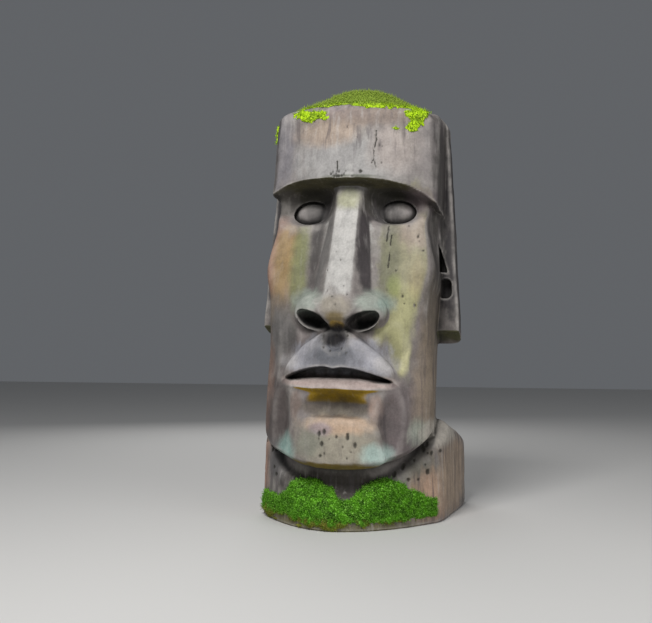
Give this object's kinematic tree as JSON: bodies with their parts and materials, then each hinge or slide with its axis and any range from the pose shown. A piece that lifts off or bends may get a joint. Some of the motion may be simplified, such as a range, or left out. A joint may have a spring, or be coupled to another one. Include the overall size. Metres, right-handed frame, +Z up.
{
  "type": "moai stone head statue",
  "caption": "Carved stone moai head with a heavy brow, long nose, pursed lips and long ears, on a short neck and shoulder block that stands on its flat base.",
  "frame": {"origin": "on the ground, in the middle of the shoulder block's flat underside, on the plane of symmetry", "axes": "+Z up the head, face looking along -Y, +X to the viewer's right"},
  "size_m": [0.8992, 0.8902, 1.8528],
  "materials": {
    "stone": "weathered volcanic tuff, pitted and cracked, with rain streaks and lichen stains",
    "moss": "living moss, a soft green mat of short tufts"
  },
  "bodies": {
    "root": {"moai_statue": "stone"}
  },
  "joints": []
}
